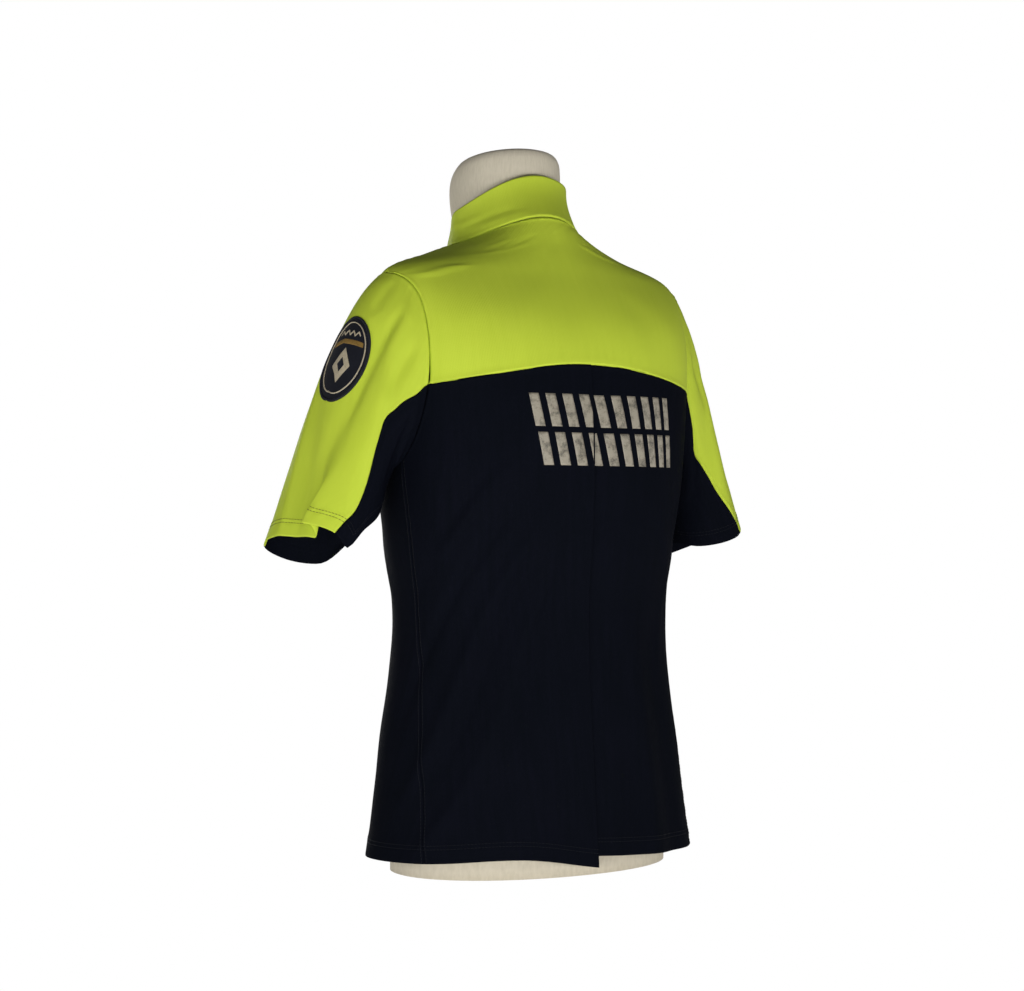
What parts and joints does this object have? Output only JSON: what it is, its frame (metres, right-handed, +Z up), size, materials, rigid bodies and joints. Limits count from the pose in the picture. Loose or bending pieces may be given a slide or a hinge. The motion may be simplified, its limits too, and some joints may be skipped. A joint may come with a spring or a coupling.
{
  "type": "polo shirt on a dress form",
  "caption": "Short-sleeved stand-collar knit polo shirt in lime and navy with a pleated back, worn hollow over a plain limbless dress form that it rests on",
  "frame": {"origin": "Middle of the dress form's flat underside, on the surface that the form stands on", "axes": "+Z up; the shirt's front faces -Y; the wearer's left sleeve is towards +X"},
  "size_m": [0.5911, 0.2651, 0.784],
  "materials": {
    "lime_knit": "fine polyester knit with a soft sheen, fluorescent lime",
    "navy_knit": "fine polyester knit, navy-black",
    "patch_twill": "dense embroidered twill, navy with off-white and gold",
    "button_resin": "dyed resin",
    "form_cover": "off-white jersey stretched over a hard form"
  },
  "bodies": {
    "root": {"back_yoke": "lime_knit", "front_yoke_left": "lime_knit", "front_yoke_right": "lime_knit", "sleeve_upper_left": "lime_knit", "sleeve_upper_right": "lime_knit", "collar": "lime_knit", "placket_band_left": "lime_knit", "placket_band_right": "lime_knit", "back_panel": "navy_knit", "front_panel": "navy_knit", "sleeve_under_left": "navy_knit", "sleeve_under_right": "navy_knit", "sleeve_patch": "patch_twill", "button_1": "button_resin", "button_2": "button_resin", "dress_form": "form_cover"}
  },
  "joints": []
}
